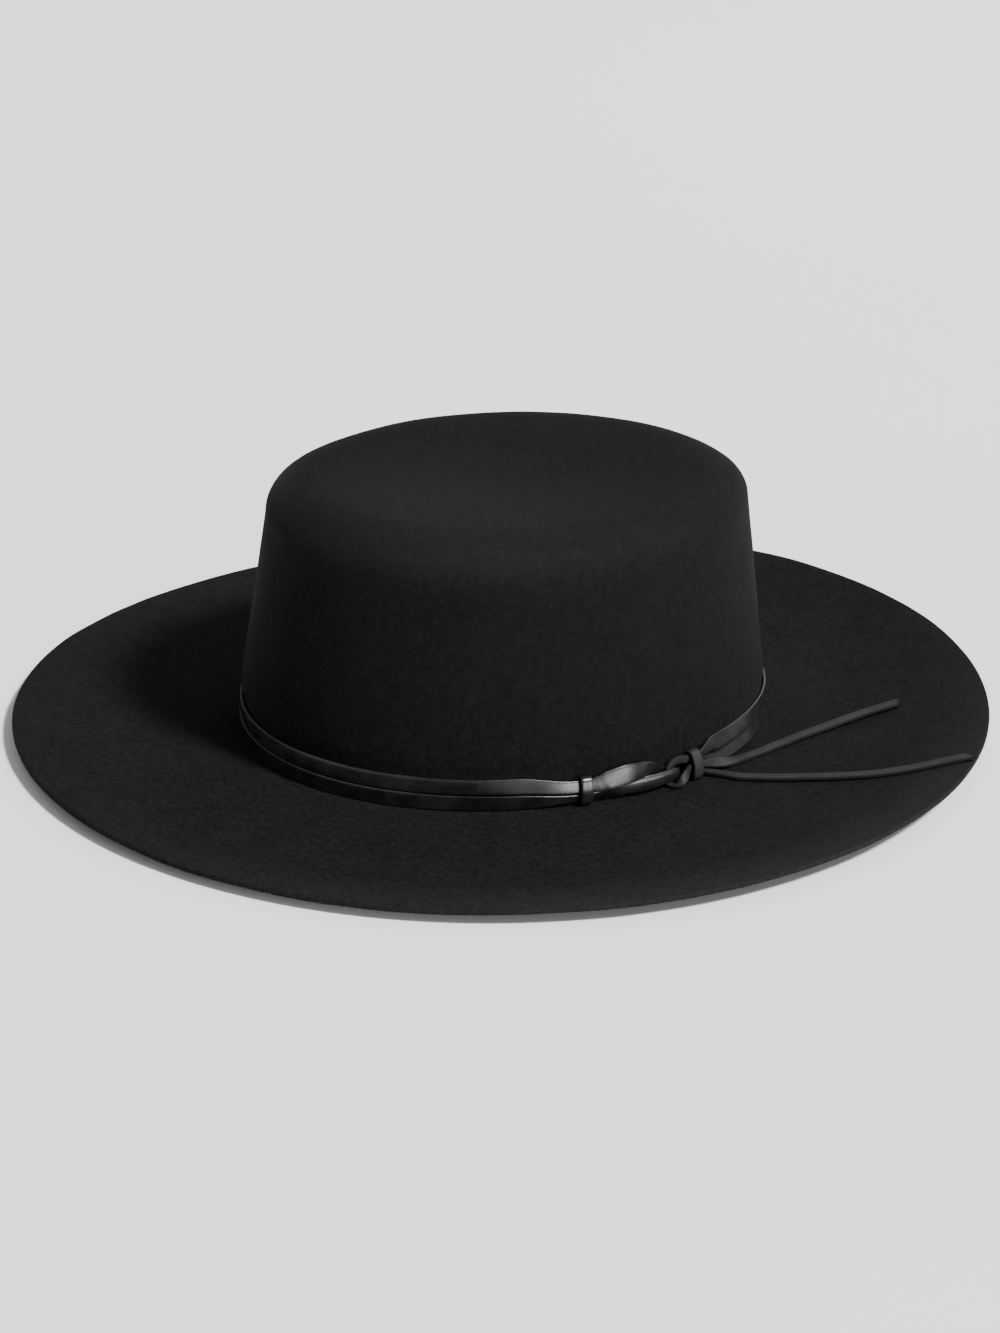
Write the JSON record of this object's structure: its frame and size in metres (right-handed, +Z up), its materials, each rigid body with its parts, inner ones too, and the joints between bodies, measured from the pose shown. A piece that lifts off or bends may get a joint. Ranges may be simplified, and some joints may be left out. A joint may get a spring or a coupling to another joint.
{
  "type": "gaucho hat",
  "caption": "Black felt gaucho hat with a flat-topped oval crown, a wide flat brim and a doubled leather lace band closed by interlocked loops, its free ends on the brim.",
  "frame": {"origin": "middle of the brim's outline, at the level of the flat ring of its underside that the hat rests on", "axes": "+X to the wearer's left, where the lace is fastened; -Y to the front; +Z up out of the crown"},
  "size_m": [0.3576, 0.377, 0.1012],
  "materials": {
    "felt": "matt wool felt with a short nap",
    "lace": "smooth black leather with a soft gloss"
  },
  "bodies": {
    "root": {"felt_body": "felt", "lower_band": "lace", "upper_band": "lace", "front_keeper": "lace", "front_loop": "lace", "rear_loop": "lace", "rear_keeper": "lace", "upper_tail": "lace", "lower_tail": "lace"}
  },
  "joints": []
}
